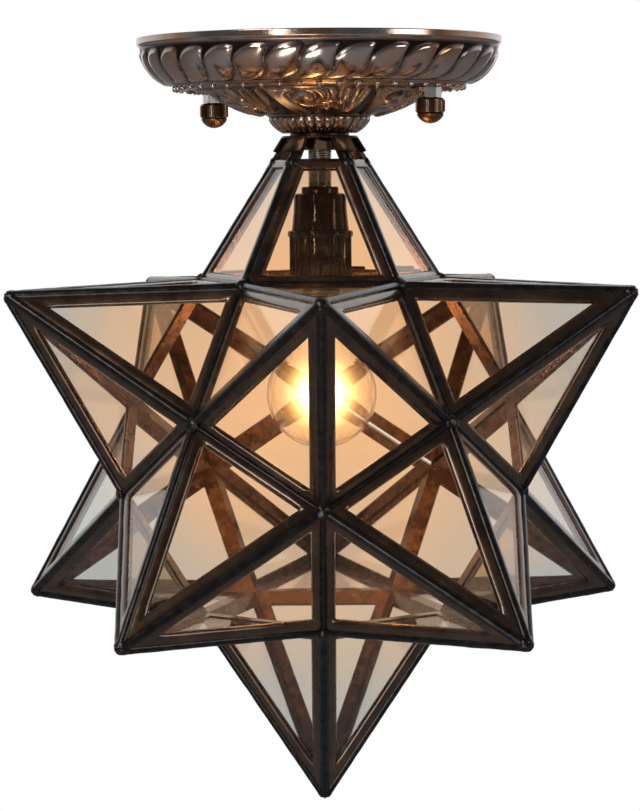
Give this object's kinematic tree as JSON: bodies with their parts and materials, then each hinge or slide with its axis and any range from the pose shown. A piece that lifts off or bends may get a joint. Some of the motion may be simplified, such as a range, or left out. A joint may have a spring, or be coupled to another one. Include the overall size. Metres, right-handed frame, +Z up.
{
  "type": "star ceiling lantern",
  "caption": "Close-hung ceiling lantern: a twelve-pointed star of framed glass panes with one hinged point, a screw lamp inside and a round pressed plate above.",
  "frame": {"origin": "in the ceiling plane, on the lantern's vertical axis, midway between the strap's two screw holes", "axes": "+Z up towards the ceiling, -Y to the front (the side of the point that faces the viewer), +X to the viewer's right"},
  "size_m": [0.2564, 0.2692, 0.32],
  "materials": {
    "antique_came": "darkened, satin",
    "antique_cap": "darkened, satin",
    "antique_hinge": "darkened, satin",
    "canopy_nickel": "antique nickel over copper, bright",
    "zinc_steel": "zinc plated",
    "dark_bronze": "bronzed",
    "copper_bronze": "copper bronzed",
    "tube_steel": "zinc plated, dulled",
    "black_steel": "blackened",
    "black_bakelite": "moulded, glossy",
    "white_ceramic": "glazed porcelain",
    "plain_brass": "plain",
    "lamp_tin": "soldered",
    "lamp_nickel": "nickel plated",
    "lead_sleeve": "heat proof sleeve",
    "earth_sleeve": "green and yellow sleeve",
    "white_nylon": "moulded",
    "hot_wire": "tungsten",
    "clear_glass": "clear float glass, 2 mm",
    "lamp_glass": "clear blown glass"
  },
  "bodies": {
    "root": {"bottom_frame": "antique_came", "bottom_glass": "clear_glass", "canopy": "canopy_nickel", "canopy_hex_nuts": "zinc_steel", "canopy_studs": "zinc_steel", "ceiling_strap": "zinc_steel", "centre_contact": "plain_brass", "crown_cap": "antique_cap", "crown_frame": "antique_came", "crown_glass": "clear_glass", "earth_lead": "earth_sleeve", "earth_screw": "plain_brass", "hinge_leaves_fixed": "antique_hinge", "hinge_pin": "plain_brass", "holder_cap": "black_bakelite", "holder_insert": "white_ceramic", "holder_skirt": "black_bakelite", "hook_pivot": "antique_hinge", "lock_washer": "black_steel", "lower_back_frame": "antique_came", "lower_back_glass": "clear_glass", "lower_front_left_frame": "antique_came", "lower_front_left_glass": "clear_glass", "lower_front_right_frame": "antique_came", "lower_front_right_glass": "clear_glass", "lower_left_frame": "antique_came", "lower_left_glass": "clear_glass", "lower_right_frame": "antique_came", "lower_right_glass": "clear_glass", "screw_shell": "plain_brass", "spacer_ring": "black_steel", "supply_leads": "lead_sleeve", "terminal_block": "white_nylon", "terminal_screws": "plain_brass", "threaded_tube": "tube_steel", "tube_nuts": "black_steel", "tube_washer": "zinc_steel", "upper_back_left_frame": "antique_came", "upper_back_left_glass": "clear_glass", "upper_front_frame": "antique_came", "upper_front_glass": "clear_glass", "upper_left_frame": "antique_came", "upper_left_glass": "clear_glass", "upper_right_frame": "antique_came", "upper_right_glass": "clear_glass"},
    "door": {"door_frame": "antique_came", "door_glass": "clear_glass", "hinge_leaf_door": "antique_hinge", "door_peg": "antique_hinge"},
    "hook": {"door_hook": "antique_hinge"},
    "lamp_carriage": {"lamp_eyelet": "lamp_tin"},
    "lamp": {"lamp_insulator": "black_bakelite", "lamp_base": "lamp_nickel", "lamp_globe": "lamp_glass", "lamp_stem": "lamp_glass", "lamp_filament": "hot_wire"},
    "left_nut_carriage": {"nut_button_left": "copper_bronze"},
    "left_nut": {"knurled_nut_left": "dark_bronze"},
    "right_nut_carriage": {"nut_button_right": "copper_bronze"},
    "right_nut": {"knurled_nut_right": "dark_bronze"}
  },
  "joints": [
    {"name": "door_hinge", "type": "hinge", "parent": "root", "child": "door", "pos_m": [0.026, 0.03579, -0.09843], "axis": [0.809, -0.5878, 0], "range_deg": [0, 60]},
    {"name": "hook_swing", "type": "hinge", "parent": "root", "child": "hook", "pos_m": [0.03644, 0.07958, -0.18092], "axis": [-0.309, -0.9511, 0], "range_deg": [0, 90]},
    {"name": "lamp_travel", "type": "slide", "parent": "root", "child": "lamp_carriage", "axis": [0, 0, -1], "range_m": [0, 0.01128]},
    {"name": "lamp_turn", "type": "hinge", "parent": "lamp_carriage", "child": "lamp", "pos_m": [0, 0, -0.1], "axis": [0, 0, -1], "range_deg": [0, 1440]},
    {"name": "left_nut_travel", "type": "slide", "parent": "root", "child": "left_nut_carriage", "axis": [0, 0, -1], "range_m": [0, 0.0048]},
    {"name": "left_nut_turn", "type": "hinge", "parent": "left_nut_carriage", "child": "left_nut", "pos_m": [-0.04478, 0.02798, -0.03], "axis": [0, 0, -1], "range_deg": [0, 2160]},
    {"name": "right_nut_travel", "type": "slide", "parent": "root", "child": "right_nut_carriage", "axis": [0, 0, -1], "range_m": [0, 0.0048]},
    {"name": "right_nut_turn", "type": "hinge", "parent": "right_nut_carriage", "child": "right_nut", "pos_m": [0.04478, -0.02798, -0.03], "axis": [0, 0, -1], "range_deg": [0, 2160]}
  ],
  "couplings": [
    {"joint": "lamp_travel", "follows": "lamp_turn", "m_per_rad": 0.00044882},
    {"joint": "left_nut_travel", "follows": "left_nut_turn", "m_per_rad": 0.00012732},
    {"joint": "right_nut_travel", "follows": "right_nut_turn", "m_per_rad": 0.00012732}
  ]
}
